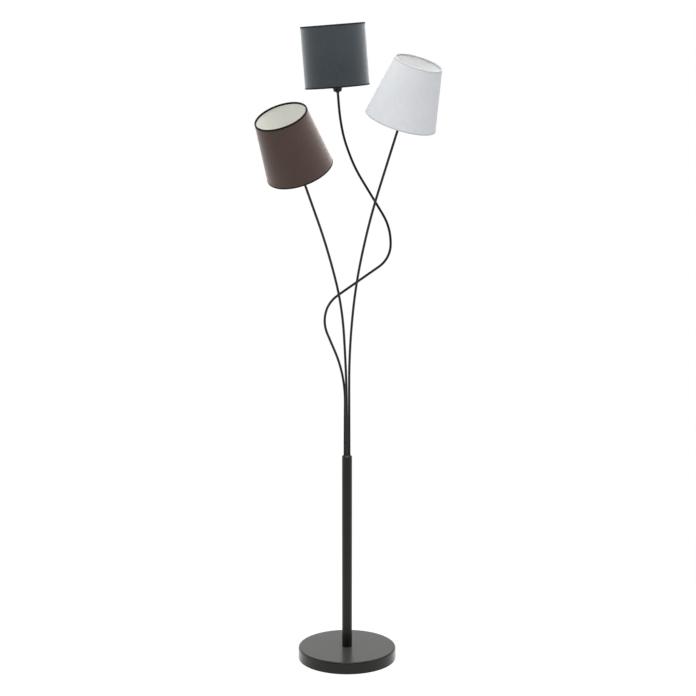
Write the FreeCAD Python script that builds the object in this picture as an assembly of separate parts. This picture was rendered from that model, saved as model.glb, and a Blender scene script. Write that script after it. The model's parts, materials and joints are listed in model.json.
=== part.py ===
import FreeCAD, Part
import math
import os
from FreeCAD import Placement, Rotation, Vector

# Tree floor lamp: a weighted round base, one straight pole and three thin bent arms that leave the pole's cap
# as a tight bundle.  Two arms lean out to the sides and the third is bent in an S round them.  Each arm ends
# in a small lampholder that carries a fabric shade, clamped by a ring nut, and a bulb.
# Millimetres, +Z up, -Y is the front.  The origin is the centre of the base's underside, on the floor.

# ---- base ----
base_diameter = 244.5
base_height = 30.0            # floor to the base's top face
pad_thickness = 2.0
pad_inset = 1.0               # the pad stays this far inside the base's edge
cover_wall = 1.2
cover_edge_radius = 4.0
weight_clearance = 0.5        # between the weight's rim and the cover's wall
weight_plate = 10.8           # thickness of the weight over its hollow
weight_rim = 48.0             # width of the ring left round the hollow
weight_draft = 1.5            # the casting's hollow widens by this towards its mouth

# ---- threaded stud that ties the pole to the base ----
stud_diameter = 10.0
stud_bore = 7.2
stud_clearance = 0.25
washer_diameter = 24.0
washer_thickness = 1.5
nut_flats = 17.0
nut_height = 5.3
stud_recess = 0.8             # the stud ends this far above the nut's lower face

# ---- cord inlet in the rear of the base ----
inlet_bore = 7.0
inlet_hole = 11.0
inlet_flange = 15.0
inlet_flange_thickness = 1.6
inlet_height = 12.5           # of its axis above the floor
notch_width = 20.0            # in the weight's rim, behind the inlet
notch_clearance = 1.0         # over the inlet's flange

# ---- terminal block in the weight's hollow ----
terminal_pitch = 8.0
terminal_count = 3
terminal_depth = 17.0
terminal_height = 10.0
terminal_gap = 8.8            # from the block's rear to the wall of the weight's hollow
terminal_wire_bore = 3.4
terminal_screw_diameter = 4.0
terminal_screw_length = 4.0

# ---- pole ----
pole_diameter = 25.0
pole_wall = 1.2
pole_length = 488.0
plug_clearance = 0.05
foot_plug_height = 20.0
cap_rim = 3.0
cap_slope_height = 4.3
cap_top_diameter = 16.4
cap_plug_height = 18.0

# ---- arms ----
arm_diameter = 6.0
arm_wall = 0.8
arm_pitch_radius = 6.5        # of the three holes in the cap
arm_hole_clearance = 0.05
arm_bend_share = 0.465        # how much of the shorter run beside it each bend takes up
arm_tail = 6.0                # length of arm below the cap's plug
arm_straight = 42.0           # each arm stands upright for this far above the cap's rim
ferrule_wall = 1.1

# Hole's place round the cap, then the corners of the arm's runs, the last one being the lampholder's seat.
# Heights in this table are above the pole's upper end.
arms = {
    "brown": (270.0, [(-1.5, -8, 206), (-11.5, -21.5, 382), (-47.5, -69.5, 532), (-105.4, -147.2, 709.5)]),
    "white": (30.0, [(5, 3.5, 259), (20, -8.5, 429), (54, -36, 594), (121.8, -90.8, 820)]),
    "grey": (150.0, [(-4.5, 2, 206.5), (-58, -26, 339), (-45, -48, 396), (105, -56, 503),
                     (103.5, -38, 576.5), (17.5, -8, 716), (-7.5, -3, 783.5), (-17.5, -1, 837.5),
                     (-22, -1, 895)]),
}

# ---- inner leads: flat two-core flex ----
lead_width = 2.6
lead_thickness = 1.6
lead_level = 2.9              # height at which the front arm's lead crosses the base's hollow
lead_step = 1.8               # the two others cross this much higher
lead_foot_bend = 6.0
lead_slot_radius = 1.9        # of the three leads round the stud's axis

# ---- lampholders; heights are along the holder's axis from the cup's underside ----
nipple_diameter = 8.0
nipple_bore = 3.8
nipple_length = 13.0
nipple_socket = 7.0           # depth to which the arm enters
collar_height = 3.0
collar_top_diameter = 10.4
collar_foot_diameter = 7.4
locknut_flats = 12.0
locknut_height = 3.0
cup_foot_diameter = 18.0
cup_overhang = 0.3            # the cup's mouth stands this far outside the barrel
cup_slope_height = 18.0
cup_height = 21.0
cup_wall = 0.8
cup_fold = 0.2                # the inner face straightens this far above the slope
shoulder_overhang = 2.6       # and the shoulder this far
shoulder_height = 2.0
barrel_diameter = 27.8
barrel_length = 31.5
barrel_wall = 2.3
barrel_bevel = 1.0
mouth_diameter = 17.2
mouth_height = 2.5
insert_clearance = 0.1
insert_foot = 4.0             # the insert starts this far below the shoulder's upper face
insert_hole = 4.2             # blind hole for the lead
insert_hole_depth = 4.0
lead_end_gap = 1.0
socket_diameter = 15.8
socket_floor = 3.0            # above the shoulder's upper face
shell_wall = 0.4
contact_width = 4.0
contact_thickness = 0.4
contact_rise = 2.0

# ---- shades ----
rim_height = 11.4             # the shade's lower rim above the cup's underside
shade_wall = 0.8
wire = 2.0                    # the frame's wire, square in section
wire_gap = 0.1
centre_ring_width = 4.2
centre_ring_thickness = 1.0
centre_ring_clearance = 0.4
seat_gap = 0.05
spoke_count = 3
spoke_bend = 9.0
nut_flange_width = 2.5
nut_flange_thickness = 1.8
nut_hub_wall = 2.3
nut_hub_height = 6.0
nut_thread_clearance = 0.3
nut_notches = 8
nut_notch_diameter = 4.0

# Lower diameter, upper diameter and height of each shade.
shades = {
    "brown": (159.0, 125.0, 146.2),
    "white": (171.0, 112.8, 145.0),
    "grey": (153.8, 153.8, 146.0),
}

# ---- bulbs: small tubular lamps on a 14 mm screw cap ----
bulb_cap_diameter = 13.9
bulb_cap_rise = 0.4           # the cap stands this far out of the lampholder's mouth
bulb_tip_diameter = 4.8
bulb_tip_height = 1.2
bulb_insulator_height = 2.6
bulb_tip_gap = 0.3
bulb_diameter = 24.0
bulb_neck_height = 8.0
bulb_body_height = 30.0
bulb_shoulder = 5.0

# ---- places that follow from the sizes above ----
up = Vector(0, 0, 1)
origin = Vector(0, 0, 0)
base_radius = base_diameter / 2
pole_radius = pole_diameter / 2
pole_bore_radius = pole_radius - pole_wall
arm_radius = arm_diameter / 2
weight_radius = base_radius - cover_wall - weight_clearance
weight_hollow = weight_radius - weight_rim
weight_top = base_height - cover_wall
weight_floor = weight_top - weight_plate
terminal_distance = weight_hollow - terminal_gap - terminal_depth / 2
nut_foot = weight_floor - washer_thickness - nut_height
pole_top = base_height + pole_length
cap_foot = pole_top - cap_plug_height
barrel_bore = barrel_diameter - 2 * barrel_wall
cup_mouth_diameter = barrel_diameter + 2 * cup_overhang
shoulder_diameter = barrel_diameter + 2 * shoulder_overhang
nut_bore_diameter = barrel_diameter + 2 * nut_thread_clearance
nut_hub_diameter = nut_bore_diameter + 2 * nut_hub_wall
nut_flange_diameter = nut_hub_diameter + 2 * nut_flange_width
shoulder_top = cup_height + shoulder_height
barrel_top = shoulder_top + barrel_length
socket_foot = shoulder_top + socket_floor
insert_top = barrel_top - mouth_height - (barrel_bore - mouth_diameter) / 4
bulb_foot = socket_foot + contact_rise + bulb_tip_gap
bulb_cap_top = barrel_top + bulb_cap_rise


# ---- ways of making shapes ----
def half_section(start, *steps):
    """Face in the XZ plane from points (radius, height); a step of two points is an arc through the first."""
    first = here = Vector(start[0], 0, start[1])
    edges = []
    for step in steps:
        if isinstance(step[0], tuple):
            through, end = (Vector(radius, 0, height) for radius, height in step)
            edges.append(Part.Arc(here, through, end).toShape())
        else:
            end = Vector(step[0], 0, step[1])
            edges.append(Part.LineSegment(here, end).toShape())
        here = end
    edges.append(Part.LineSegment(here, first).toShape())
    return Part.Face(Part.Wire(edges))


def turned(start, *steps):
    """Round piece turned about Z from its half-section."""
    return half_section(start, *steps).revolve(origin, up, 360)


def ring(inner_radius, outer_radius, foot, top):
    return turned((inner_radius, foot), (outer_radius, foot), (outer_radius, top), (inner_radius, top))


def rod(radius, foot, top, x=0.0, y=0.0):
    return Part.makeCylinder(radius, top - foot, Vector(x, y, foot))


def hexagon_nut(flats, foot, height, bore_radius):
    """Hexagon nut about Z with a plain bore."""
    corner = flats / math.sqrt(3)
    corners = [Vector(corner * math.cos(math.radians(60 * k)), corner * math.sin(math.radians(60 * k)), foot)
               for k in range(7)]
    return Part.Face(Part.makePolygon(corners)).extrude(up * height).cut(rod(bore_radius, foot, foot + height))


def rounded_path(points, share, largest=None):
    """Straight runs joined by tangent arcs; largest gives, by corner number, an arc that is held smaller."""
    largest = largest or {}
    edges = []
    here = points[0]
    for number in range(1, len(points) - 1):
        corner = points[number]
        back = points[number - 1] - corner
        ahead = points[number + 1] - corner
        half_turn = (math.pi - back.getAngle(ahead)) / 2
        trim = share * min(back.Length, ahead.Length)
        if number in largest:
            trim = min(trim, largest[number] * math.tan(half_turn))
        radius = trim / math.tan(half_turn)
        back.normalize()
        ahead.normalize()
        inward = (back + ahead).normalize()
        middle = corner + inward * (radius / math.cos(half_turn) - radius)
        start = corner + back * trim
        end = corner + ahead * trim
        edges.append(Part.LineSegment(here, start).toShape())
        edges.append(Part.Arc(start, middle, end).toShape())
        here = end
    edges.append(Part.LineSegment(here, points[-1]).toShape())
    return Part.Wire(edges)


def across(path_start, path_next):
    """Placement that puts a section drawn in the XY plane square to the path's first run."""
    return Placement(path_start, Rotation(up, path_next - path_start))


def swept_tube(points, radius, wall, share):
    """Bent round tube; its ends are open."""
    outline = Part.Face([Part.Wire(Part.makeCircle(radius)), Part.Wire(Part.makeCircle(radius - wall))])
    outline.Placement = across(points[0], points[1])
    return rounded_path(points, share).makePipe(outline)


def swept_bar(points, width, thickness, share, largest=None):
    """Bent bar of rectangular section."""
    flat = Part.makePlane(width, thickness, Vector(-width / 2, -thickness / 2, 0))
    flat.Placement = across(points[0], points[1])
    return rounded_path(points, share, largest).makePipe(flat)


# ---- base ----
def base_cover():
    """Spun steel cover: flat top, rounded edge, open underneath."""
    edge = base_radius - cover_edge_radius
    diagonal = cover_edge_radius * math.sqrt(0.5)
    under = base_height - cover_wall
    inner = base_radius - cover_wall
    hole = stud_diameter / 2 + stud_clearance
    cover = turned((hole, base_height), (edge, base_height),
                   ((edge + diagonal, base_height - cover_edge_radius + diagonal),
                    (base_radius, base_height - cover_edge_radius)),
                   (base_radius, pad_thickness), (inner, pad_thickness),
                   (inner, base_height - cover_edge_radius), (edge, under), (hole, under))
    inlet = Part.makeCylinder(inlet_hole / 2, 2 * cover_edge_radius,
                              Vector(0, base_radius - cover_edge_radius, inlet_height), Vector(0, 1, 0))
    return cover.cut(inlet)


def base_weight():
    """Cast disc with a hollow underneath, a hole for the stud and a notch for the cord."""
    bevel_top = base_radius - cover_edge_radius - weight_clearance
    bevel_foot = base_height - cover_edge_radius - weight_clearance
    hole = stud_diameter / 2 + stud_clearance
    disc = turned((hole, weight_top), (bevel_top, weight_top), (weight_radius, bevel_foot),
                  (weight_radius, pad_thickness), (weight_hollow + weight_draft, pad_thickness),
                  (weight_hollow, weight_floor), (hole, weight_floor))
    notch_top = inlet_height + inlet_flange / 2 + notch_clearance
    notch = Part.makeBox(notch_width, 2 * weight_rim, notch_top - pad_thickness,
                         Vector(-notch_width / 2, weight_hollow - weight_rim / 2, pad_thickness))
    return disc.cut(notch)


def floor_pad():
    return rod(base_radius - pad_inset, 0, pad_thickness)


def cord_grommet():
    """Rubber bush clipped in the cover's rear wall; its bore runs along Y."""
    wall_inner = base_radius - cover_wall
    neck = inlet_hole / 2
    flange = inlet_flange / 2
    bore = inlet_bore / 2
    bush = turned((bore, wall_inner - inlet_flange_thickness), (flange, wall_inner - inlet_flange_thickness),
                  (flange, wall_inner - 0.3), (neck, wall_inner - 0.3), (neck, base_radius),
                  (flange, base_radius), (neck + 0.8, base_radius + inlet_flange_thickness),
                  (bore, base_radius + inlet_flange_thickness))
    bush.Placement = Placement(Vector(0, 0, inlet_height), Rotation(Vector(1, 0, 0), -90))
    return bush


def foot_stud():
    """Hollow threaded stud from the nut under the weight to the plug in the pole's foot."""
    foot = nut_foot + stud_recess
    return ring(stud_bore / 2, stud_diameter / 2, foot, base_height + foot_plug_height)


def foot_washer():
    return ring(stud_diameter / 2 + stud_clearance, washer_diameter / 2, weight_floor - washer_thickness,
                weight_floor)


def foot_nut():
    return hexagon_nut(nut_flats, nut_foot, nut_height, stud_diameter / 2)


def terminal_places():
    middle = (terminal_count - 1) / 2
    return [(number - middle) * terminal_pitch for number in range(terminal_count)]


def terminal_block():
    """Moulded block under the weight: one wire bore and one screw well to each pole."""
    width = terminal_count * terminal_pitch + 2
    foot = weight_floor - terminal_height
    front = terminal_distance - terminal_depth / 2
    block = Part.makeBox(width, terminal_depth, terminal_height, Vector(-width / 2, front, foot))
    bore_level = foot + terminal_height / 2 + 1
    for x in terminal_places():
        block = block.cut(Part.makeCylinder(terminal_wire_bore / 2, terminal_depth,
                                            Vector(x, front, bore_level), Vector(0, 1, 0)))
        block = block.cut(rod(terminal_screw_diameter / 2 + plug_clearance, foot, bore_level, x,
                              terminal_distance))
    return block


def terminal_screws():
    """Slotted clamp screws, one in each well."""
    foot = weight_floor - terminal_height
    screws = []
    for x in terminal_places():
        screw = rod(terminal_screw_diameter / 2, foot + 0.5, foot + 0.5 + terminal_screw_length, x,
                    terminal_distance)
        slot = Part.makeBox(terminal_screw_diameter, 0.8, 1.0,
                            Vector(x - terminal_screw_diameter / 2, terminal_distance - 0.4, foot + 0.5))
        screws.append(screw.cut(slot))
    return Part.makeCompound(screws)


# ---- pole ----
def pole_tube():
    return ring(pole_bore_radius, pole_radius, base_height, pole_top)


def foot_plug():
    """Turned plug that closes the pole's foot and takes the stud."""
    radius = pole_bore_radius - plug_clearance
    return ring(stud_diameter / 2 + plug_clearance, radius, base_height, base_height + foot_plug_height)


def arm_hole(name):
    angle = math.radians(arms[name][0])
    return Vector(arm_pitch_radius * math.cos(angle), arm_pitch_radius * math.sin(angle), 0)


def pole_cap():
    """Plug with a rim as wide as the pole, a sloping shoulder and three holes for the arms."""
    plug = pole_bore_radius - plug_clearance
    rim_top = pole_top + cap_rim
    cap = turned((0, cap_foot), (plug, cap_foot), (plug, pole_top), (pole_radius, pole_top),
                 (pole_radius, rim_top), (cap_top_diameter / 2, rim_top + cap_slope_height),
                 (0, rim_top + cap_slope_height))
    for name in arms:
        place = arm_hole(name)
        cap = cap.cut(rod(arm_radius + arm_hole_clearance, cap_foot, rim_top + cap_slope_height,
                          place.x, place.y))
    return cap


def arm_ferrules():
    """Sleeves brazed on the arms' feet, drawn up against the underside of the cap."""
    sleeves = []
    for name in arms:
        sleeve = ring(arm_radius, arm_radius + ferrule_wall, cap_foot - arm_tail, cap_foot)
        sleeve.translate(arm_hole(name))
        sleeves.append(sleeve)
    return Part.makeCompound(sleeves)


# ---- arms and their leads ----
def arm_corners(name):
    return [Vector(x, y, pole_top + height) for x, y, height in arms[name][1]]


def seat(name):
    return arm_corners(name)[-1]


def head_axis(name):
    corners = arm_corners(name)
    return (corners[-1] - corners[-2]).normalize()


def arm_points(name, foot, overrun):
    """Corners of the arm's middle line from a height below the cap to past the lampholder's seat."""
    corners = arm_corners(name)
    end = corners[-1] + head_axis(name) * overrun
    upright = arm_hole(name) + up * (pole_top + cap_rim + arm_straight)
    return [arm_hole(name) + up * foot, upright] + corners[:-1] + [end]


def arm_tube(name):
    return swept_tube(arm_points(name, cap_foot - arm_tail, nipple_socket), arm_radius, arm_wall,
                      arm_bend_share)


def inner_lead(name, terminal_x):
    """Flat lead from the terminal block up the stud, the pole and the arm to the lampholder's insert."""
    block_front = terminal_distance - terminal_depth / 2
    block_level = weight_floor - terminal_height / 2 + 1
    slot = arm_hole(name).normalize() * lead_slot_radius
    hole = arm_hole(name)
    entry = shoulder_top - insert_foot + insert_hole_depth - lead_end_gap
    level = lead_level + (lead_step if slot.y > 0 else 0)
    points = [Vector(terminal_x, block_front + 4, block_level),
              Vector(terminal_x, block_front - 6, block_level),
              Vector((terminal_x + slot.x) / 2, block_front / 2, level),
              slot + up * level,
              slot + up * (cap_foot - 80),
              hole + up * (cap_foot - 20)]
    points += arm_points(name, cap_foot, entry)[1:]
    return swept_bar(points, lead_width, lead_thickness, arm_bend_share, {3: lead_foot_bend})


# ---- lampholders, drawn upright with the cup's underside at height 0 ----
def holder_nipple():
    """Hollow threaded nipple; its collar takes the arm's end from below."""
    shank = nipple_diameter / 2
    socket = arm_radius + arm_hole_clearance
    bore = nipple_bore / 2
    return turned((socket, -collar_height), (collar_foot_diameter / 2, -collar_height),
                  (collar_top_diameter / 2, 0), (shank, 0), (shank, nipple_length), (bore, nipple_length),
                  (bore, nipple_socket), (socket, nipple_socket))


def holder_locknut():
    return hexagon_nut(locknut_flats, cup_wall, locknut_height, nipple_diameter / 2)


def holder_cup():
    """Pressed metal cup, wider upwards, open at the top."""
    hole = nipple_diameter / 2 + plug_clearance
    foot = cup_foot_diameter / 2
    mouth = cup_mouth_diameter / 2
    return turned((hole, 0), (foot, 0), (mouth, cup_slope_height), (mouth, cup_height),
                  (mouth - cup_wall, cup_height), (mouth - cup_wall, cup_slope_height + cup_fold),
                  (foot - cup_wall / 2, cup_wall), (hole, cup_wall))


def holder_skirt():
    """Insulating skirt: spigot in the cup, shoulder for the shade, threaded barrel and a narrower mouth."""
    spigot = cup_mouth_diameter / 2 - cup_wall - plug_clearance
    bore = barrel_bore / 2
    barrel = barrel_diameter / 2
    mouth = mouth_diameter / 2
    foot = cup_slope_height + cup_fold
    return turned((bore, foot), (spigot, foot), (spigot, cup_height), (shoulder_diameter / 2, cup_height),
                  (shoulder_diameter / 2, shoulder_top), (barrel, shoulder_top),
                  (barrel, barrel_top - barrel_bevel), (barrel - barrel_bevel, barrel_top),
                  (mouth, barrel_top), (mouth, barrel_top - mouth_height), (bore, insert_top))


def holder_insert():
    """Ceramic insert with the lamp socket above and a blind hole for the lead below."""
    radius = barrel_bore / 2 - insert_clearance
    foot = shoulder_top - insert_foot
    body = turned((0, foot), (radius, foot), (radius, insert_top), (socket_diameter / 2, insert_top),
                  (socket_diameter / 2, socket_foot), (0, socket_foot))
    return body.cut(rod(insert_hole / 2, foot, foot + insert_hole_depth))


def holder_contacts():
    """Screw shell round the socket and a sprung tongue on its floor."""
    outer = socket_diameter / 2 - plug_clearance
    shell = ring(outer - shell_wall, outer, socket_foot + contact_rise + 1, insert_top - 1)
    reach = outer - 1.5
    arch = half_section((-reach, socket_foot),
                        ((0, socket_foot + contact_rise), (reach, socket_foot)),
                        (reach - contact_thickness, socket_foot),
                        ((0, socket_foot + contact_rise - contact_thickness),
                         (-reach + contact_thickness, socket_foot)))
    arch.translate(Vector(0, -contact_width / 2, 0))
    return Part.makeCompound([shell, arch.extrude(Vector(0, contact_width, 0))])


def shade_ring_nut():
    """Ring nut that screws down the barrel on to the shade's centre ring."""
    bore = nut_bore_diameter / 2
    foot = shoulder_top + seat_gap + centre_ring_thickness + seat_gap
    flange = nut_flange_diameter / 2
    hub = nut_hub_diameter / 2
    nut = turned((bore, foot), (flange, foot), (flange, foot + nut_flange_thickness),
                 (hub, foot + nut_flange_thickness), (hub, foot + nut_flange_thickness + nut_hub_height),
                 (bore, foot + nut_flange_thickness + nut_hub_height))
    for number in range(nut_notches):
        angle = math.radians(360 / nut_notches * number)
        nut = nut.cut(rod(nut_notch_diameter / 2, foot, foot + nut_flange_thickness,
                          (flange + nut_notch_diameter / 5) * math.cos(angle),
                          (flange + nut_notch_diameter / 5) * math.sin(angle)))
    return nut


# ---- shades, drawn upright over the same zero ----
def wall_radius(name, height):
    """Outer radius of the shade's wall at a height above the cup's underside."""
    lower, upper, tall = shades[name]
    return lower / 2 + (upper - lower) / 2 * (height - rim_height) / tall


def shade_shell(name):
    """Laminated fabric wall, open at both ends."""
    foot, top = rim_height, rim_height + shades[name][2]
    lower, upper = wall_radius(name, foot), wall_radius(name, top)
    return turned((lower - shade_wall, foot), (lower, foot), (upper, top), (upper - shade_wall, top))


def rim_wire(name, foot):
    """Square wire ring that lies inside the shade's wall."""
    clear = shade_wall + wire_gap
    inner = min(wall_radius(name, foot), wall_radius(name, foot + wire)) - clear - wire
    return turned((inner, foot), (wall_radius(name, foot) - clear, foot),
                  (wall_radius(name, foot + wire) - clear, foot + wire), (inner, foot + wire))


def shade_top_ring(name):
    return rim_wire(name, rim_height + shades[name][2] - wire - shade_wall)


def shade_spider(name):
    """Lower rim ring, three bent spokes and the centre ring that sits on the lampholder's shoulder."""
    ring_foot = shoulder_top + seat_gap
    inner = barrel_diameter / 2 + centre_ring_clearance
    frame = ring(inner, inner + centre_ring_width, ring_foot, ring_foot + centre_ring_thickness)
    rim_foot = rim_height + shade_wall
    rim_middle = wall_radius(name, rim_foot) - shade_wall - wire_gap - wire / 2
    frame = frame.fuse(rim_wire(name, rim_foot))
    spoke_level = ring_foot - wire / 2
    spoke_start = shoulder_diameter / 2 + seat_gap + wire_gap
    turn_in = rim_middle - (spoke_level - rim_foot)
    for number in range(spoke_count):
        spoke = swept_bar([Vector(spoke_start, 0, spoke_level), Vector(turn_in, 0, spoke_level),
                           Vector(rim_middle, 0, rim_foot + wire / 2)], wire, wire, arm_bend_share,
                          {1: spoke_bend})
        spoke.rotate(origin, up, 360 / spoke_count * number + 90)
        frame = frame.fuse(spoke)
    return frame.removeSplitter()


# ---- bulbs ----
def bulb_cap():
    """Screw cap with a contact tip and a sloping insulator."""
    tip = bulb_tip_diameter / 2
    cap = bulb_cap_diameter / 2
    cone_foot = bulb_foot + bulb_tip_height
    cone_top = cone_foot + bulb_insulator_height
    return turned((0, bulb_foot), (tip, bulb_foot), (tip, cone_foot), (cap, cone_top), (cap, bulb_cap_top),
                  (0, bulb_cap_top))


def bulb_diffuser():
    """Opal body: sloping neck, straight side and a bevelled end."""
    side = bulb_diameter / 2
    top = bulb_cap_top + bulb_neck_height + bulb_body_height
    return turned((0, bulb_cap_top), (bulb_cap_diameter / 2, bulb_cap_top),
                  (side, bulb_cap_top + bulb_neck_height),
                  (side, top), (side - bulb_shoulder, top + bulb_shoulder), (0, top + bulb_shoulder))


# ---- put together and written out ----
def on_head(name, shape):
    """Moves a piece drawn upright to the end of the named arm, in line with it."""
    placed = shape.copy()
    placed.Placement = Placement(seat(name), Rotation(up, head_axis(name))).multiply(shape.Placement)
    return placed


def all_nodes():
    nodes = {
        "base_cover": base_cover(),
        "base_weight": base_weight(),
        "floor_pad": floor_pad(),
        "cord_grommet": cord_grommet(),
        "foot_stud": foot_stud(),
        "foot_washer": foot_washer(),
        "foot_nut": foot_nut(),
        "terminal_block": terminal_block(),
        "terminal_screws": terminal_screws(),
        "pole_tube": pole_tube(),
        "foot_plug": foot_plug(),
        "pole_cap": pole_cap(),
        "arm_ferrules": arm_ferrules(),
    }
    places = dict(zip(["grey", "brown", "white"], terminal_places()))
    locknuts = []
    for name in arms:
        nodes[name + "_arm"] = arm_tube(name)
        nodes[name + "_lead"] = inner_lead(name, places[name])
        locknuts.append(on_head(name, holder_locknut()))
        nodes[name + "_holder_nipple"] = on_head(name, holder_nipple())
        nodes[name + "_holder_cup"] = on_head(name, holder_cup())
        nodes[name + "_holder_skirt"] = on_head(name, holder_skirt())
        nodes[name + "_holder_insert"] = on_head(name, holder_insert())
        nodes[name + "_holder_contacts"] = on_head(name, holder_contacts())
        nodes[name + "_shade_ring_nut"] = on_head(name, shade_ring_nut())
        nodes[name + "_shade"] = on_head(name, shade_shell(name))
        nodes[name + "_shade_spider"] = on_head(name, shade_spider(name))
        nodes[name + "_shade_top_ring"] = on_head(name, shade_top_ring(name))
        nodes[name + "_bulb_cap"] = on_head(name, bulb_cap())
        nodes[name + "_bulb_diffuser"] = on_head(name, bulb_diffuser())
    nodes["nipple_locknuts"] = Part.makeCompound(locknuts)
    return nodes


os.makedirs("parts", exist_ok=True)
for node_name, node_shape in all_nodes().items():
    node_shape.exportStep("parts/" + node_name + ".step")
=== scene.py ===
import json
import math

import bmesh
import bpy
from bpy.props import FloatProperty, FloatVectorProperty, IntProperty, PointerProperty
from mathutils import Matrix, Vector


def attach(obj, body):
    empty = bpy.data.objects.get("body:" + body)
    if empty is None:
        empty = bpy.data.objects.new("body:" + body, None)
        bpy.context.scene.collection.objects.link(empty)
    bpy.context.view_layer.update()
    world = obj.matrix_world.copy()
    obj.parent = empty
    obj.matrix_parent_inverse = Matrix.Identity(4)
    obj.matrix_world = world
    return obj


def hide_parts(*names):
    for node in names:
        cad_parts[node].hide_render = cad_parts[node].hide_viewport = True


bl_info = {
    "name": "Tree floor lamp",
    "version": (1, 0, 0),
    "blender": (4, 5, 0),
    "location": "View3D > Sidebar > Floor lamp",
    "description": "Dresses a floor lamp's frame: fabric shades, wires, bulbs, finishes and a studio",
    "category": "Object",
}

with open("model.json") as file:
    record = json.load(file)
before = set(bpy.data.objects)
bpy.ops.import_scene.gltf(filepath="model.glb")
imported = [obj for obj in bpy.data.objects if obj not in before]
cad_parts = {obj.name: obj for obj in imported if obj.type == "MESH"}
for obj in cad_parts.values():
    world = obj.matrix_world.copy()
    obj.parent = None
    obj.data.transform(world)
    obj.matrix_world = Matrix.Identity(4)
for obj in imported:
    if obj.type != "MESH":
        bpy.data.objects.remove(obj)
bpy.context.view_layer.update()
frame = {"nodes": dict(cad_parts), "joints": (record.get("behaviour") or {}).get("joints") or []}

UP = Vector((0, 0, 1))
MM = 0.001
FULL_TURN = 2 * math.pi
BACK = math.pi / 2  # angle of the lamp's rear side, where seams and first spokes lie
RING_STEPS = 144
WIRE_SIDES = 12
WHITE = (1, 1, 1, 1)
HEADS = ("brown", "white", "grey")


# ---------------------------------------------------------------- what the frame says
def head_matrix(head):
    """Places a piece drawn upright, with the cup's underside at height 0, at the end of the named arm."""
    joint = next(j for j in frame["joints"] if j["name"] == head + "_shade_turn")
    turn = UP.rotation_difference(Vector(joint["axis"])).to_matrix().to_4x4()
    return Matrix.Translation(Vector(joint["pos_m"])) @ turn


def upright(head, node):
    """The node's corners as (radius, height) pairs in the upright position of its head."""
    to_head = head_matrix(head).inverted()
    places = (to_head @ v.co for v in frame["nodes"][node].data.vertices)
    return [(math.hypot(p.x, p.y), p.z) for p in places]


def reach(pairs):
    """Lowest and highest height, then smallest and largest radius."""
    radii, heights = zip(*pairs)
    return min(heights), max(heights), min(radii), max(radii)


class Wall:
    """The sloping wall of one shade, as its solid has it."""

    def __init__(self, head):
        pairs = upright(head, head + "_shade")
        self.foot, self.top, _, _ = reach(pairs)
        near_foot = [r for r, h in pairs if h < self.foot + MM / 2]
        near_top = [r for r, h in pairs if h > self.top - MM / 2]
        self.lower, self.upper = max(near_foot), max(near_top)
        self.thickness = self.lower - min(near_foot)
        self.tall = self.top - self.foot
        self.slant = math.hypot(self.tall, self.lower - self.upper)

    def radius(self, height):
        return self.lower + (self.upper - self.lower) * (height - self.foot) / self.tall


# ---------------------------------------------------------------- settings
class ShadeSizes(bpy.types.PropertyGroup):
    lining: FloatProperty(name="Lining", description="Thickness of the white lining", default=0.3 * MM,
                          unit="LENGTH")
    segments: IntProperty(name="Segments", description="Flat faces round a shade", default=RING_STEPS)
    rows: IntProperty(name="Rows", description="Rows of faces up a shade", default=6)
    tape_reach: FloatProperty(name="Tape reach", description="How far the edge tape comes down outside",
                              default=2.9 * MM, unit="LENGTH")
    tape_inside: FloatProperty(name="Tape inside", description="How far the edge tape comes down inside",
                               default=3.8 * MM, unit="LENGTH")
    tape_thickness: FloatProperty(name="Tape", description="Thickness of the edge tape", default=0.35 * MM,
                                  unit="LENGTH")
    tape_gap: FloatProperty(name="Tape gap", description="Glue line under the edge tape", default=0.03 * MM,
                            unit="LENGTH")
    tape_corner: FloatProperty(name="Tape corner", description="Radius of the tape's folded corners",
                               default=0.7 * MM, unit="LENGTH")
    seam_width: FloatProperty(name="Seam", description="Width of the overlap at the back of a shade",
                              default=8 * MM, unit="LENGTH")
    seam_thickness: FloatProperty(name="Seam thickness", description="Height of the overlap",
                                  default=0.3 * MM, unit="LENGTH")
    spokes: IntProperty(name="Spokes", description="Wires from the rim to the centre ring", default=3)
    spoke_bend: FloatProperty(name="Spoke bend", description="Radius of the bend in each spoke",
                              default=9 * MM, unit="LENGTH")
    ring_lip: FloatProperty(name="Ring lip", description="Bevel on the edges of the centre ring",
                            default=0.2 * MM, unit="LENGTH")


class HolderSizes(bpy.types.PropertyGroup):
    thread_pitch: FloatProperty(name="Thread pitch", description="Rise of the barrel's thread in one turn",
                                default=2 * MM, unit="LENGTH")
    thread_height: FloatProperty(name="Thread height", description="Height of the thread over the barrel",
                                 default=0.25 * MM, unit="LENGTH")
    thread_root: FloatProperty(name="Thread root", description="Depth of the thread's foot in the barrel",
                               default=0.1 * MM, unit="LENGTH")
    thread_share: FloatProperty(name="Thread share", description="Half the thread's width next to its pitch",
                                default=0.32)
    thread_steps: IntProperty(name="Thread steps", description="Steps in one turn of the thread", default=40)
    thread_gap: FloatProperty(name="Thread gap", description="Plain stretch between nut and thread",
                              default=0.8 * MM, unit="LENGTH")
    thread_end: FloatProperty(name="Thread end", description="Plain stretch at the barrel's end",
                              default=2.4 * MM, unit="LENGTH")
    bulb_neck: FloatProperty(name="Bulb neck", description="Height of the bulb's sloping neck",
                             default=8 * MM, unit="LENGTH")
    bulb_dome: FloatProperty(name="Bulb dome", description="Height of the bulb's rounded end",
                             default=7 * MM, unit="LENGTH")
    bulb_rows: IntProperty(name="Bulb rows", description="Rows of faces up the neck and the dome", default=12)
    bulb_segments: IntProperty(name="Bulb segments", description="Flat faces round the bulb", default=64)


def colour(name, words, default):
    return FloatVectorProperty(name=name, description=words, default=default, subtype="COLOR", size=3,
                               min=0, max=1)


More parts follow.
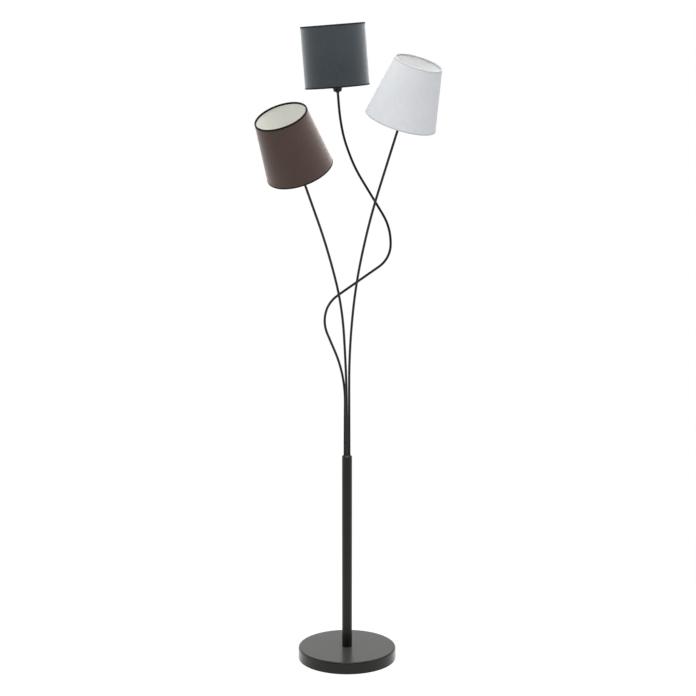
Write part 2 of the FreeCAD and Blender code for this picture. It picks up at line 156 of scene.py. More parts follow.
class Colours(bpy.types.PropertyGroup):
    coat: colour("Coating", "Near-black coating of the base, pole and arms", (0.0052, 0.0054, 0.0022))
    brown: colour("Brown cloth", "Thread colour of the brown shade", (0.062, 0.0395, 0.0325))
    white: colour("White cloth", "Thread colour of the white shade", (0.57, 0.585, 0.605))
    grey: colour("Grey cloth", "Thread colour of the grey shade", (0.0345, 0.0425, 0.0485))
    # The three tape tones are partly the tape's own dark colour and partly painted shade. Each is kept darker
    # than its cloth to stand in for the shade in the rolled edge, and the white shade's tape is painted grey
    # for that shade.
    brown_tape: colour("Brown tape", "Edge tape of the brown shade", (0.006, 0.0045, 0.004))
    white_tape: colour("White tape", "Edge tape of the white shade", (0.46, 0.47, 0.485))
    grey_tape: colour("Grey tape", "Edge tape of the grey shade", (0.009, 0.011, 0.0125))
    # The three lining tones are painted light. The lining is the same white film in every shade. It is toned
    # brightest in the white shade to stand in for light coming through its thin cloth, and darker in the grey
    # and brown shades (warm in the brown one) for the shade inside opaque cloth.
    brown_lining: colour("Brown lining", "Inside of the brown shade", (0.86, 0.86, 0.81))
    white_lining: colour("White lining", "Inside of the white shade", (0.93, 0.935, 0.93))
    grey_lining: colour("Grey lining", "Inside of the grey shade", (0.88, 0.88, 0.86))
    opal: colour("Opal", "Bulb glass", (0.88, 0.88, 0.85))


class Studio(bpy.types.PropertyGroup):
    focal_length: FloatProperty(name="Focal length", description="Focal length in millimetres",
                                default=91.29)
    sensor: FloatProperty(name="Sensor", description="Width of the picture plane in millimetres", default=36)
    camera_place: FloatVectorProperty(name="Camera", description="Where the camera stands", unit="LENGTH",
                                      default=(0.0024, -4.240, 1.571), subtype="TRANSLATION")
    camera_pitch: FloatProperty(name="Pitch", description="How far the camera looks down",
                                default=math.radians(10.4), subtype="ANGLE")
    floor_size: FloatProperty(name="Floor", description="Half the width of the floor", default=30,
                              unit="LENGTH")
    floor_tone: FloatProperty(name="Floor tone", description="How much light the floor throws back",
                              default=0.8)
    shadow_depth: FloatProperty(name="Shadow", description="Share of real shading in the floor by the lamp",
                                default=0.25)
    shadow_near: FloatProperty(name="Shadow near", description="Where the shading starts to fade",
                               default=0.35, unit="LENGTH")
    shadow_far: FloatProperty(name="Shadow far", description="Where the shading has faded", default=1.5,
                              unit="LENGTH")
    floor_light: FloatProperty(name="Floor light", description="Light that reaches the open floor",
                               default=0.8)
    surroundings: FloatProperty(name="Surroundings", description="Light that comes from all round",
                                default=0.73)
    front_share: FloatProperty(name="Front", description="How bright gloss sees the front next to the rear",
                               default=0.12)
    left_power: FloatProperty(name="Left lamp", description="Power of the left lamp in watts", default=6)
    right_power: FloatProperty(name="Right lamp", description="Power of the right lamp in watts",
                               default=8.5)
    top_power: FloatProperty(name="Top lamp", description="Power of the lamp overhead in watts", default=68)
    aim: FloatVectorProperty(name="Aim", description="Where the lamps point", default=(0, 0, 1),
                             subtype="TRANSLATION", unit="LENGTH")


# name, place, width and height in metres, and the setting that holds the power
LAMPS = (
    ("left lamp", (-2.6, -1.4, 1.3), (1.0, 2.4), "left_power"),
    ("right lamp", (2.6, -1.4, 1.3), (1.0, 2.4), "right_power"),
    ("top lamp", (0.0, -0.7, 3.4), (2.2, 2.2), "top_power"),
)
GROUPS = {"lamp_shade": ShadeSizes, "lamp_holder": HolderSizes, "lamp_colours": Colours,
          "lamp_studio": Studio}


# ---------------------------------------------------------------- making meshes
def finished(mesh_builder, name, place, material, body, sharp=35.0):
    """Turns a mesh builder into a piece that stands at its place and rides on its body."""
    mesh_builder.transform(place)
    mesh = bpy.data.meshes.new(name)
    mesh_builder.to_mesh(mesh)
    mesh_builder.free()
    for face in mesh.polygons:
        face.use_smooth = True
    mesh.set_sharp_from_angle(angle=math.radians(sharp))
    piece = bpy.data.objects.new(name, mesh)
    bpy.context.scene.collection.objects.link(piece)
    mesh.materials.append(material)
    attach(piece, body)
    return piece


def spun(outline, steps, closed=True, angle=FULL_TURN, start=0.0):
    """Turns an outline of (radius, height) points round the upright axis."""
    bm = bmesh.new()
    corners = [bm.verts.new((r * math.cos(start), r * math.sin(start), h)) for r, h in outline]
    for here, ahead in zip(corners, corners[1:]):
        bm.edges.new((here, ahead))
    if closed:
        bm.edges.new((corners[-1], corners[0]))
    full = abs(angle - FULL_TURN) < 1e-6
    bmesh.ops.spin(bm, geom=bm.verts[:] + bm.edges[:], cent=(0, 0, 0), axis=(0, 0, 1), angle=angle,
                   steps=steps, use_merge=full)
    if closed and not full:
        bmesh.ops.holes_fill(bm, edges=[e for e in bm.edges if e.is_boundary], sides=0)
    bmesh.ops.remove_doubles(bm, verts=bm.verts[:], dist=1e-7)
    bmesh.ops.recalc_face_normals(bm, faces=bm.faces[:])
    return bm


def arc(centre, radius, first, last, steps):
    """Points on an arc, angles in degrees."""
    angles = (math.radians(first + (last - first) * k / steps) for k in range(steps + 1))
    return [(centre[0] + radius * math.cos(a), centre[1] + radius * math.sin(a)) for a in angles]


def cloth_map(bm, mean_radius):
    """Lays the cloth's threads round and up the wall: the map is in metres and starts at the back."""
    layer = bm.loops.layers.uv.new("threads")
    for face in bm.faces:
        middle = face.calc_center_median()
        about = math.atan2(-middle.x, middle.y)
        for loop in face.loops:
            x, y, z = loop.vert.co
            angle = math.atan2(-x, y)
            if angle - about > math.pi:
                angle -= FULL_TURN
            elif about - angle > math.pi:
                angle += FULL_TURN
            loop[layer].uv = (angle * mean_radius, z)


# ---------------------------------------------------------------- making materials
class Nodes:
    """Adds shader nodes to one tree and joins them."""

    def __init__(self, tree):
        self.tree = tree

    def node(self, kind, inputs=None, **settings):
        made = self.tree.nodes.new("ShaderNode" + kind)
        for key, value in settings.items():
            setattr(made, key, value)
        for key, value in (inputs or {}).items():
            self.feed(made.inputs[key], value)
        return made

    def feed(self, socket, value):
        if isinstance(value, bpy.types.NodeSocket):
            self.tree.links.new(value, socket)
        else:
            socket.default_value = value

    def maths(self, operation, *values):
        return self.node("Math", dict(enumerate(values)), operation=operation).outputs[0]

    def spread(self, value, low, high, from_low=0.0, from_high=1.0, kind="LINEAR"):
        made = self.node("MapRange", {"Value": value, "From Min": from_low, "From Max": from_high,
                                      "To Min": low, "To Max": high}, interpolation_type=kind)
        return made.outputs["Result"]

    def blend(self, share, first, second, kind="FLOAT"):
        made = self.node("Mix", data_type=kind)
        for key, value in (("Factor", share), ("A", first), ("B", second)):
            self.feed(made.inputs[key], value)
        return made.outputs["Result"]

    def rays(self, *kinds):
        """1 for a ray of any of the kinds, else 0."""
        ray = self.node("LightPath")
        total = ray.outputs[kinds[0]]
        for kind in kinds[1:]:
            total = self.maths("MAXIMUM", total, ray.outputs[kind])
        return total


class Finish(Nodes):
    """A material built from nodes round one principled shader."""

    def __init__(self, name, **sockets):
        self.material = bpy.data.materials.new(name)
        self.material.use_nodes = True
        super().__init__(self.material.node_tree)
        self.shader = self.tree.nodes["Principled BSDF"]
        for socket, value in sockets.items():
            self.shader.inputs[socket.replace("_", " ")].default_value = value

    def object_places(self, stretch=(1, 1, 1)):
        places = self.node("TexCoord").outputs["Object"]
        return self.node("Mapping", {"Vector": places, "Scale": stretch}).outputs["Vector"]

    def noise(self, places, scale, detail=3.0, roughness=0.5):
        made = self.node("TexNoise", {"Vector": places, "Scale": scale, "Detail": detail,
                                      "Roughness": roughness})
        return made.outputs["Fac"]

    def tint(self, share, dark, light):
        return self.blend(share, (*dark, 1), (*light, 1), "RGBA")

    def colour_from(self, value):
        self.feed(self.shader.inputs["Base Color"], value)

    def roughness_from(self, value):
        self.feed(self.shader.inputs["Roughness"], value)

    def bump(self, height, depth, strength=1.0):
        """Height is from 0 to 1 and depth is its size in metres."""
        made = self.node("Bump", {"Height": height, "Distance": depth, "Strength": strength})
        self.feed(self.shader.inputs["Normal"], made.outputs["Normal"])


def shaded(tone, share):
    return tuple(min(1.0, part * share) for part in tone)


def woven_cloth(name, tone, sheen, contrast, pitch=0.75 * MM):
    """Plain weave of slightly uneven threads, laid along the piece's own thread map."""
    cloth = Finish(name, Roughness=0.9, Sheen_Weight=sheen, Sheen_Roughness=0.4, Specular_IOR_Level=0.2)
    fuzz = (0.7 + 0.25 * part / max(tone) for part in tone)
    cloth.shader.inputs["Sheen Tint"].default_value = (*fuzz, 1)
    threads = cloth.node("UVMap", uv_map="threads").outputs["UV"]
    split = cloth.node("SeparateXYZ", {"Vector": threads})
    round_it = cloth.maths("MULTIPLY", split.outputs["X"], math.pi / pitch)
    up_it = cloth.maths("MULTIPLY", split.outputs["Y"], math.pi / pitch)
    warp = cloth.maths("ABSOLUTE", cloth.maths("SINE", round_it))
    weft = cloth.maths("ABSOLUTE", cloth.maths("SINE", up_it))
    over = cloth.maths("MULTIPLY", cloth.maths("COSINE", round_it), cloth.maths("COSINE", up_it))
    over = cloth.spread(over, 0.25, 0.75, -1, 1)
    crown = cloth.maths("ADD", cloth.maths("MULTIPLY", warp, over),
                        cloth.maths("MULTIPLY", weft, cloth.maths("SUBTRACT", 1.0, over)))
    streaks = []
    for stretch in ((60, 1400, 1), (1400, 60, 1)):
        drawn_out = cloth.node("Mapping", {"Vector": threads, "Scale": stretch}).outputs["Vector"]
        streaks.append(cloth.noise(drawn_out, 1.0, 2.0))
    slubs = cloth.maths("MULTIPLY", cloth.maths("ADD", *streaks), 0.5)
    broad = cloth.noise(cloth.object_places(), 9.0, 2.0)
    shade = cloth.maths("ADD", cloth.maths("MULTIPLY", crown, 0.45),
                        cloth.maths("ADD", cloth.maths("MULTIPLY", slubs, 0.75),
                                    cloth.maths("MULTIPLY", broad, 0.2)))
    shade = cloth.spread(shade, 0.0, 1.0, 0.35, 1.1)
    cloth.colour_from(cloth.tint(shade, shaded(tone, 1 - contrast), shaded(tone, 1 + contrast)))
    cloth.bump(cloth.maths("ADD", crown, cloth.maths("MULTIPLY", slubs, 0.6)), 0.12 * MM, 0.6)
    return cloth.material


def edge_tape_with_painted_shade(name, tone):
    """Narrow tape with a fine, uneven grain. Its tone is darker than its cloth, and that darkness is partly
    painted shade of the rolled edge.
    """
    tape = Finish(name, Roughness=0.75, Sheen_Weight=0.05, Specular_IOR_Level=0.15)
    places = tape.object_places()
    ribs = tape.noise(places, 900.0, 2.0)
    tape.colour_from(tape.tint(ribs, shaded(tone, 0.75), shaded(tone, 1.3)))
    tape.bump(ribs, 0.1 * MM, 0.5)
    return tape.material


def lining_film(name, tone):
    """White film, slightly pebbled, with faint clouding. The tone it is given per shade carries painted
    light.
    """
    film = Finish(name, Specular_IOR_Level=0.4)
    places = film.object_places()
    pebble = film.noise(places, 1100.0, 2.0)
    clouds = film.noise(places, 14.0, 3.0)
    film.colour_from(film.tint(clouds, shaded(tone, 0.97), shaded(tone, 1.03)))
    film.roughness_from(film.spread(pebble, 0.48, 0.62))
    film.bump(pebble, 0.04 * MM, 0.5)
    return film.material


def coated_metal(name, tone, roughness, dust=0.0):
    """Satin coating with a fine skin texture, faint clouding and a few rubbed specks."""
    coat = Finish(name, Specular_IOR_Level=0.3, Sheen_Weight=dust, Sheen_Roughness=0.3)
    places = coat.object_places()
    skin = coat.noise(places, 900.0, 2.0)
    clouds = coat.noise(places, 11.0, 4.0)
    specks = coat.spread(coat.noise(places, 240.0, 5.0, 0.7), 0.0, 1.0, 0.66, 0.8)
    coat.colour_from(coat.tint(coat.maths("ADD", coat.maths("MULTIPLY", clouds, 0.5), specks),
                               shaded(tone, 0.85), shaded(tone, 1.2)))
    coat.roughness_from(coat.spread(coat.maths("ADD", clouds, coat.maths("MULTIPLY", skin, 0.4)),
                                    roughness - 0.03, roughness + 0.05, 0.3, 1.1))
    coat.bump(skin, 0.004 * MM, 0.3)
    return coat.material


def bare_metal(name, tone, roughness, scale=400.0):
    """Turned or plated metal with fine tool marks."""
    metal = Finish(name, Metallic=1.0)
    marks = metal.noise(metal.object_places((1, 1, 6)), scale, 3.0)
    metal.colour_from(metal.tint(marks, shaded(tone, 0.85), shaded(tone, 1.1)))
    metal.roughness_from(metal.spread(marks, roughness - 0.08, roughness + 0.1))
    metal.bump(marks, 0.02 * MM, 0.4)
    return metal.material


def moulded(name, tone, roughness, grain=0.4, scale=700.0, **sockets):
    """Moulded plastic, rubber or glazed ceramic with a fine grain."""
    body = Finish(name, **sockets)
    places = body.object_places()
    grains = body.noise(places, scale, 3.0)
    clouds = body.noise(places, 30.0, 3.0)
    body.colour_from(body.tint(clouds, shaded(tone, 0.9), shaded(tone, 1.1)))
    body.roughness_from(body.spread(grains, roughness - 0.06, roughness + 0.08))
    body.bump(grains, 0.03 * MM, grain)
    return body.material


def rough_casting():
    """Grey iron as it leaves the mould."""
    iron = Finish("rough casting", Metallic=0.6, Specular_IOR_Level=0.4)
    places = iron.object_places()
    pits = iron.noise(places, 260.0, 6.0, 0.65)
    patches = iron.noise(places, 25.0, 4.0)
    iron.colour_from(iron.tint(patches, (0.045, 0.045, 0.047), (0.11, 0.105, 0.10)))
    iron.roughness_from(iron.spread(pits, 0.6, 0.85))
    iron.bump(pits, 0.35 * MM, 0.7)
    return iron.material


def pressed_felt():
    """Matted black fibres."""
    felt = Finish("pressed felt", Roughness=1.0, Sheen_Weight=0.3, Specular_IOR_Level=0.1)
    places = felt.object_places()
    fibres = felt.noise(places, 420.0, 7.0, 0.75)
    felt.colour_from(felt.tint(fibres, (0.006, 0.006, 0.006), (0.028, 0.027, 0.026)))
    felt.bump(fibres, 0.4 * MM, 0.9)
    return felt.material


# ---------------------------------------------------------------- operators
def settings(name):
    return getattr(bpy.context.scene, name)


def give(nodes, material):
    """Puts the material on carried-over nodes."""
    for name in nodes:
        node = frame["nodes"][name]
        for place in node.material_slots:
            place.material = material


class LAMP_OT_covers(bpy.types.Operator):
    """Make the cloth cover, its seam and the lining of every shade"""

    bl_idname = "lamp.covers"
    bl_label = "Shade covers"

    def execute(self, context):
        sizes, colours = settings("lamp_shade"), settings("lamp_colours")
        for head in HEADS:
            wall = Wall(head)
            sheen, contrast = (0.08, 0.28) if head == "white" else (1.0, 0.65)
            cloth = woven_cloth(head + " cloth", getattr(colours, head), sheen, contrast)
            # Each shade's lining tone carries painted light: lighter or darker by how much light its cloth
            # lets in.
            film = lining_film(head + " lining film", getattr(colours, head + "_lining"))
            self.cover(head, wall, sizes, cloth)
            self.seam(head, wall, sizes, cloth)
            self.lining(head, wall, sizes, film)
        return {"FINISHED"}

    @staticmethod
    def side(wall, inset, rows):
        """Points up the wall at a depth under its outer face."""
        heights = [wall.foot + wall.tall * k / rows for k in range(rows + 1)]
        return [(wall.radius(h) - inset, h) for h in heights]

    def cover(self, head, wall, sizes, cloth):
        outer = self.side(wall, 0.0, sizes.rows)
        inner = self.side(wall, wall.thickness - sizes.lining, sizes.rows)
        bm = spun(outer + inner[::-1], sizes.segments, start=BACK)
        mean = (wall.lower + wall.upper) / 2
        cloth_map(bm, mean)
        piece = finished(bm, head + "_shade_cover", head_matrix(head), cloth, head + "_shade")
        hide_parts(head + "_shade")

    def seam(self, head, wall, sizes, cloth):
        mean = (wall.lower + wall.upper) / 2
        angle = sizes.seam_width / mean
        edge = sizes.tape_reach
        low, high = wall.foot + edge, wall.top - edge
        outline = [(wall.radius(low), low), (wall.radius(low) + sizes.seam_thickness, low),
                   (wall.radius(high) + sizes.seam_thickness, high), (wall.radius(high), high)]
        bm = spun(outline, 6, angle=angle, start=BACK - angle / 2)
        cloth_map(bm, mean)
        finished(bm, head + "_shade_seam", head_matrix(head), cloth, head + "_shade")

    def lining(self, head, wall, sizes, film):
        outer = self.side(wall, wall.thickness - sizes.lining + sizes.tape_gap, sizes.rows)
        inner = self.side(wall, wall.thickness, sizes.rows)
        bm = spun(outer + inner[::-1], sizes.segments, start=BACK)
        finished(bm, head + "_shade_lining", head_matrix(head), film, head + "_shade")


class LAMP_OT_tapes(bpy.types.Operator):
    """Make the tape that is folded over both edges of every shade"""

    bl_idname = "lamp.tapes"
    bl_label = "Edge tapes"

    def execute(self, context):
        sizes, colours = settings("lamp_shade"), settings("lamp_colours")
        for head in HEADS:
            wall = Wall(head)
            _, _, wire_inner, _ = reach(upright(head, head + "_shade_top_ring"))
            wrap = wall.radius(wall.top) - wire_inner
            # The tape tone carries painted shade of the rolled edge.
            tape = edge_tape_with_painted_shade(head + " edge tape", getattr(colours, head + "_tape"))
            for end, upward in (("top", 1), ("lower", -1)):
                outline = self.fold(wall, sizes, upward, wrap)
                bm = spun(outline, sizes.segments)
                finished(bm, f"{head}_shade_{end}_tape", head_matrix(head), tape, head + "_shade")
        return {"FINISHED"}

    @staticmethod
    def fold(wall, sizes, upward, wrap):
        """Outline of the tape: a strip that goes up outside, over the wall and its wire, and down inside."""
        edge = wall.top if upward > 0 else wall.foot

        def strip(gap):
            outer, inner, over = gap, -wrap - gap, gap
            turn = sizes.tape_corner + gap
            rounded_out = arc((outer - turn, over - turn), turn, 0, 90, 5)
            rounded_in = arc((inner + turn, over - turn), turn, 90, 180, 5)
            return [(outer, -sizes.tape_reach)] + rounded_out + rounded_in + [(inner, -sizes.tape_inside)]

        section = strip(sizes.tape_gap + sizes.tape_thickness) + strip(sizes.tape_gap)[::-1]
        slope = (wall.upper - wall.lower) / wall.tall
        return [(wall.radius(edge) + across + slope * upward * along, edge + upward * along)
                for across, along in section]


class LAMP_OT_frames(bpy.types.Operator):
    """Make the round wires and the centre ring of every shade's frame"""

    bl_idname = "lamp.frames"
    bl_label = "Shade frames"

    def execute(self, context):
        sizes = settings("lamp_shade")
        paint = moulded("white wire paint", (0.78, 0.78, 0.75), 0.35, 0.3, 500.0)
        for head in HEADS:
            self.rim(head, head + "_shade_top_ring", paint)
            self.spider(head, sizes, paint)
        return {"FINISHED"}

    @staticmethod
    def rim(head, node, paint):
        low, high, inner, outer = reach(upright(head, node))
        wire = (high - low) / 2
        centre = ((inner + outer) / 2, (low + high) / 2)
        bm = spun(wire_outline(centre, wire), RING_STEPS)
        piece = finished(bm, head + "_shade_top_wire", head_matrix(head), paint, head + "_shade",
                         60)
        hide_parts(node)

    @staticmethod
    def spider(head, sizes, paint):
        node = head + "_shade_spider"
        pairs = upright(head, node)
        low, high, inner, outer = reach(pairs)
        rim_low, rim_high, _, _ = reach([(r, h) for r, h in pairs if r > outer - 4 * MM and h < low + 3 * MM])
        wire = (rim_high - rim_low) / 2
        rim_radius, rim_height = outer - wire, (rim_low + rim_high) / 2
        disc_outer = max(r for r, h in pairs if h > high - 0.1 * MM)
        under = min(h for r, h in pairs if r < inner + 0.2 * MM)
        lip = sizes.ring_lip
        ring = [(inner, under + lip), (inner + lip, under), (disc_outer - lip, under),
                (disc_outer, under + lip), (disc_outer, high - lip), (disc_outer - lip, high),
                (inner + lip, high), (inner, high - lip)]
        bm = spun(ring, 96)
        join(bm, spun(wire_outline((rim_radius, rim_height), wire), RING_STEPS))
        start = (inner + disc_outer) / 2
        for number in range(sizes.spokes):
            spoke = bent_wire(start, under - wire, rim_radius, rim_height, wire, sizes.spoke_bend)
            angle = FULL_TURN * number / sizes.spokes + BACK
            bmesh.ops.rotate(spoke, verts=spoke.verts[:], cent=(0, 0, 0),
                             matrix=Matrix.Rotation(angle, 3, "Z"))
            join(bm, spoke)
        piece = finished(bm, head + "_shade_frame", head_matrix(head), paint, head + "_shade",
                         50)
        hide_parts(node)


def wire_outline(centre, wire):
    """Round section of a ring's wire."""
    step = 360 / WIRE_SIDES
    return arc(centre, wire, 0, 360 - step, WIRE_SIDES - 1)


def join(target, extra):
    """Adds one mesh builder's faces to another."""
    mesh = bpy.data.meshes.new("spare")
    extra.to_mesh(mesh)
    extra.free()
    target.from_mesh(mesh)
    bpy.data.meshes.remove(mesh)


def bent_wire(start, level, end, end_height, wire, bend):
    """Round wire that runs outward at one level, bends and runs down at 45 degrees to the rim."""
    drop = level - end_height
    slope = math.radians(45)
    turn_in = end - drop
    trim = bend * math.tan(slope / 2)
    bm = bmesh.new()
    place = Matrix.Translation((start, 0, level)) @ Matrix.Rotation(math.pi / 2, 4, "Y")
    bmesh.ops.create_circle(bm, segments=WIRE_SIDES, radius=wire, cap_ends=True, matrix=place)
    made = bmesh.ops.extrude_edge_only(bm, edges=bm.edges[:])["geom"]
    verts = [g for g in made if isinstance(g, bmesh.types.BMVert)]
    bmesh.ops.translate(bm, verts=verts, vec=(turn_in - trim - start, 0, 0))
    edges = [g for g in made if isinstance(g, bmesh.types.BMEdge) and all(v in verts for v in g.verts)]
    last = bmesh.ops.spin(bm, geom=verts + edges, cent=(turn_in - trim, 0, level - bend),
                          axis=(0, 1, 0), angle=slope, steps=8)["geom_last"]
    edges = [g for g in last if isinstance(g, bmesh.types.BMEdge)]
    made = bmesh.ops.extrude_edge_only(bm, edges=edges)["geom"]
    verts = [g for g in made if isinstance(g, bmesh.types.BMVert)]
    length = drop / math.sin(slope) - trim
    bmesh.ops.translate(bm, verts=verts, vec=(length * math.cos(slope), 0, -length * math.sin(slope)))
    bmesh.ops.holes_fill(bm, edges=[e for e in bm.edges if e.is_boundary], sides=0)
    bmesh.ops.recalc_face_normals(bm, faces=bm.faces[:])
    return bm


class LAMP_OT_bulbs(bpy.types.Operator):
    """Make the opal glass of every bulb"""

    bl_idname = "lamp.bulbs"
    bl_label = "Bulbs"

    def execute(self, context):
        sizes, colours = settings("lamp_holder"), settings("lamp_colours")
        opal = moulded("opal glass", colours.opal, 0.16, 0.15, 90.0, Coat_Weight=0.3)
        for head in HEADS:
            node = head + "_bulb_diffuser"
            foot, top, _, side = reach(upright(head, node))
            neck = max(r for r, h in upright(head, node) if h < foot + 0.1 * MM)
            outline = [(0, foot), (neck, foot)]
            steps = sizes.bulb_rows
            for k in range(1, steps + 1):
                share = (1 - math.cos(math.pi * k / steps)) / 2
                outline.append((neck + (side - neck) * share, foot + sizes.bulb_neck * k / steps))
            shoulder = top - sizes.bulb_dome
            for k in range(steps + 1):
                angle = math.pi / 2 * k / steps
                outline.append((side * math.cos(angle), shoulder + sizes.bulb_dome * math.sin(angle)))
            bm = spun(outline, sizes.bulb_segments, closed=False)
            piece = finished(bm, head + "_bulb_glass", head_matrix(head), opal, head + "_bulb")
            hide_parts(node)
        return {"FINISHED"}


class LAMP_OT_threads(bpy.types.Operator):
    """Cut the outer thread of every lampholder's barrel"""

    bl_idname = "lamp.threads"
    bl_label = "Barrel threads"

    def execute(self, context):
        sizes = settings("lamp_holder")
        plastic = moulded("black moulding", (0.014, 0.014, 0.014), 0.28, 0.3)
        for head in HEADS:
            pairs = upright(head, head + "_holder_skirt")
            _, top, _, _ = reach(pairs)
            barrel = max(r for r, h in pairs if h > top - 2 * MM)
            _, nut_top, _, _ = reach(upright(head, head + "_shade_ring_nut"))
            low = nut_top + sizes.thread_gap
            high = top - sizes.thread_end
            turns = (high - low) / sizes.thread_pitch
            steps = int(turns * sizes.thread_steps)
            half = sizes.thread_pitch * sizes.thread_share
            root = barrel - sizes.thread_root
            rise = Vector((0, 0, (high - low) / steps))
            bm = bmesh.new()
            tooth = [bm.verts.new((root, 0, low - half)),
                     bm.verts.new((barrel + sizes.thread_height, 0, low)),
                     bm.verts.new((root, 0, low + half))]
            for here, ahead in zip(tooth, tooth[1:] + tooth[:1]):
                bm.edges.new((here, ahead))
            bmesh.ops.spin(bm, geom=bm.verts[:] + bm.edges[:], cent=(0, 0, 0), axis=(0, 0, 1),
                           dvec=rise, angle=FULL_TURN * turns, steps=steps)
            bmesh.ops.holes_fill(bm, edges=[e for e in bm.edges if e.is_boundary], sides=0)
            bmesh.ops.recalc_face_normals(bm, faces=bm.faces[:])
            finished(bm, head + "_barrel_thread", head_matrix(head), plastic, "stand", 60)
            give([head + "_holder_skirt", head + "_shade_ring_nut"], plastic)
        return {"FINISHED"}


class LAMP_OT_finishes(bpy.types.Operator):
    """Put the coating, metals, plastics, rubber and felt on the carried-over pieces"""

    bl_idname = "lamp.finishes"
    bl_label = "Finishes"

    def execute(self, context):
        coat = settings("lamp_colours").coat
        give(["base_cover"], coated_metal("base coating", coat, 0.24, 0.7))
        tubes = ["pole_tube", "pole_cap"] + [h + "_arm" for h in HEADS]
        give(tubes, coated_metal("tube coating", coat, 0.27))
        give([h + "_holder_cup" for h in HEADS] + [h + "_holder_nipple" for h in HEADS],
             coated_metal("cup coating", shaded(coat, 1.3), 0.3))
        give(["base_weight"], rough_casting())
        give(["floor_pad"], pressed_felt())
        give(["cord_grommet"], moulded("rubber", (0.016, 0.016, 0.016), 0.62, 0.8, 500.0))
        give(["foot_stud", "foot_washer", "foot_nut", "foot_plug", "nipple_locknuts"],
             bare_metal("zinc plate", (0.55, 0.56, 0.58), 0.32))
        give(["arm_ferrules", "terminal_screws"] + [h + "_holder_contacts" for h in HEADS],
             bare_metal("brass", (0.72, 0.52, 0.24), 0.3))
        give([h + "_bulb_cap" for h in HEADS], bare_metal("bulb cap metal", (0.75, 0.75, 0.76), 0.28))
        give(["terminal_block"], moulded("white moulding", (0.75, 0.75, 0.72), 0.4))
        give([h + "_lead" for h in HEADS], moulded("lead insulation", (0.03, 0.03, 0.03), 0.45))
        give([h + "_holder_insert" for h in HEADS],
             moulded("glazed ceramic", (0.78, 0.77, 0.73), 0.18, 0.15, 200.0, Coat_Weight=0.4))
        return {"FINISHED"}


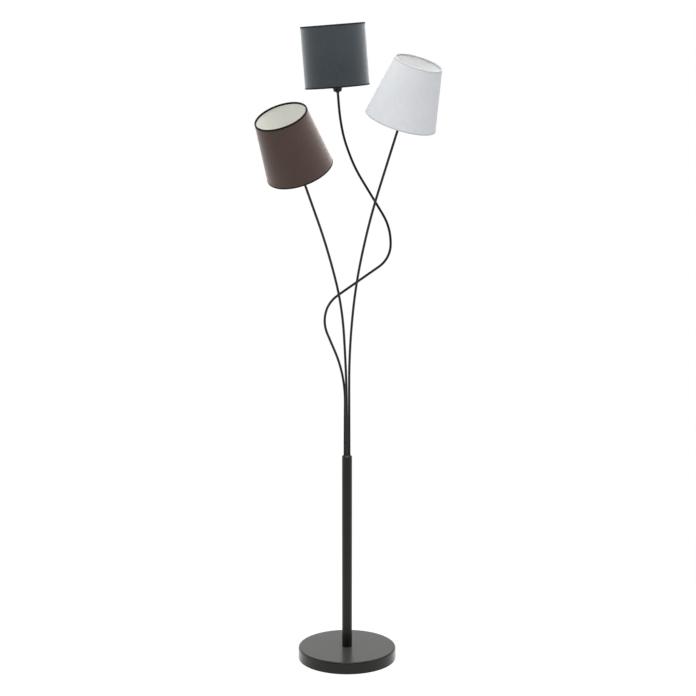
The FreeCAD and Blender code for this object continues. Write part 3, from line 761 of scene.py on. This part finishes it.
class LAMP_OT_stage(bpy.types.Operator):
    """Set up the floor, surroundings, lamps and camera"""

    bl_idname = "lamp.stage"
    bl_label = "Studio"

    def execute(self, context):
        studio = settings("lamp_studio")
        self.floor(studio)
        self.surroundings(context.scene, studio)
        self.lamps(studio)
        self.camera(context.scene, studio)
        context.scene.view_settings.view_transform = "Standard"
        return {"FINISHED"}

    @staticmethod
    def floor(studio):
        """White floor that keeps part of the lamp's shadow close to the base."""
        bm = bmesh.new()
        bmesh.ops.create_grid(bm, x_segments=1, y_segments=1, size=studio.floor_size)
        mesh = bpy.data.meshes.new("floor")
        bm.to_mesh(mesh)
        bm.free()
        floor = bpy.data.objects.new("floor", mesh)
        bpy.context.scene.collection.objects.link(floor)
        white = bpy.data.materials.new("floor white")
        white.use_nodes = True
        nodes = Nodes(white.node_tree)
        nodes.tree.nodes.clear()
        seen = nodes.rays("Is Camera Ray", "Is Glossy Ray", "Is Transmission Ray")
        places = nodes.node("TexCoord").outputs["Object"]
        distance = nodes.node("VectorMath", {0: places}, operation="LENGTH").outputs["Value"]
        shading = nodes.spread(distance, studio.shadow_depth, 0.0, studio.shadow_near, studio.shadow_far,
                               "SMOOTHSTEP")
        paint = nodes.node("BsdfDiffuse", {"Color": nodes.blend(seen, studio.floor_tone, shading)})
        rest = nodes.maths("MULTIPLY_ADD", shading, -studio.floor_light, 1.0)
        lift = nodes.node("Emission", {"Color": WHITE, "Strength": nodes.maths("MULTIPLY", seen, rest)})
        both = nodes.node("AddShader", {0: paint.outputs[0], 1: lift.outputs[0]})
        nodes.node("OutputMaterial", {"Surface": both.outputs[0]})
        mesh.materials.append(white)

    @staticmethod
    def surroundings(scene, studio):
        """White where it is seen, an even glow on the lamp, and darker at the front for its gloss."""
        scene.world = bpy.data.worlds.new("studio")
        scene.world.use_nodes = True
        nodes = Nodes(scene.world.node_tree)
        nodes.tree.nodes.clear()
        places = nodes.node("TexCoord").outputs["Generated"]
        depth = nodes.node("SeparateXYZ", {"Vector": places}).outputs["Y"]
        ramp = nodes.spread(depth, studio.front_share, 1.0, -0.9, 0.1, "SMOOTHSTEP")
        unseen = nodes.blend(nodes.rays("Is Glossy Ray"), studio.surroundings, ramp)
        strength = nodes.blend(nodes.rays("Is Camera Ray", "Is Transmission Ray"), unseen, 1.0)
        glow = nodes.node("Background", {"Color": WHITE, "Strength": strength})
        nodes.node("OutputWorld", {"Surface": glow.outputs[0]})

    @staticmethod
    def lamps(studio):
        """Two tall soft lamps at the sides and one overhead."""
        for name, place, size, power in LAMPS:
            data = bpy.data.lights.new(name, "AREA")
            data.shape = "RECTANGLE"
            data.size, data.size_y = size
            data.energy = getattr(studio, power)
            lamp = bpy.data.objects.new(name, data)
            lamp.location = place
            aim = Vector(studio.aim) - Vector(place)
            lamp.rotation_euler = aim.to_track_quat("-Z", "Y").to_euler()
            bpy.context.scene.collection.objects.link(lamp)

    @staticmethod
    def camera(scene, studio):
        data = bpy.data.cameras.new("camera")
        data.lens = studio.focal_length
        data.sensor_width = studio.sensor
        data.clip_end = 100
        camera = bpy.data.objects.new("camera", data)
        camera.location = studio.camera_place
        camera.rotation_euler = (math.pi / 2 - studio.camera_pitch, 0, 0)
        scene.collection.objects.link(camera)
        scene.camera = camera


class LAMP_PT_panel(bpy.types.Panel):
    """Lists the steps that dress the lamp"""

    bl_idname = "LAMP_PT_panel"
    bl_label = "Floor lamp"
    bl_space_type = "VIEW_3D"
    bl_region_type = "UI"
    bl_category = "Floor lamp"

    def draw(self, context):
        for operator in OPERATORS:
            self.layout.operator(operator.bl_idname)
        for group in GROUPS:
            for name in getattr(context.scene, group).__annotations__:
                self.layout.prop(getattr(context.scene, group), name)


OPERATORS = (LAMP_OT_covers, LAMP_OT_tapes, LAMP_OT_frames, LAMP_OT_bulbs, LAMP_OT_threads,
             LAMP_OT_finishes, LAMP_OT_stage)


def register():
    for kind in (*GROUPS.values(), *OPERATORS, LAMP_PT_panel):
        bpy.utils.register_class(kind)
    for name, kind in GROUPS.items():
        setattr(bpy.types.Scene, name, PointerProperty(type=kind))


def unregister():
    for name in GROUPS:
        delattr(bpy.types.Scene, name)
    for kind in reversed((*GROUPS.values(), *OPERATORS, LAMP_PT_panel)):
        bpy.utils.unregister_class(kind)


def main():
    register()
    for operator in OPERATORS:
        group, name = operator.bl_idname.split(".")
        getattr(getattr(bpy.ops, group), name)()


if __name__ == "__main__":
    main()
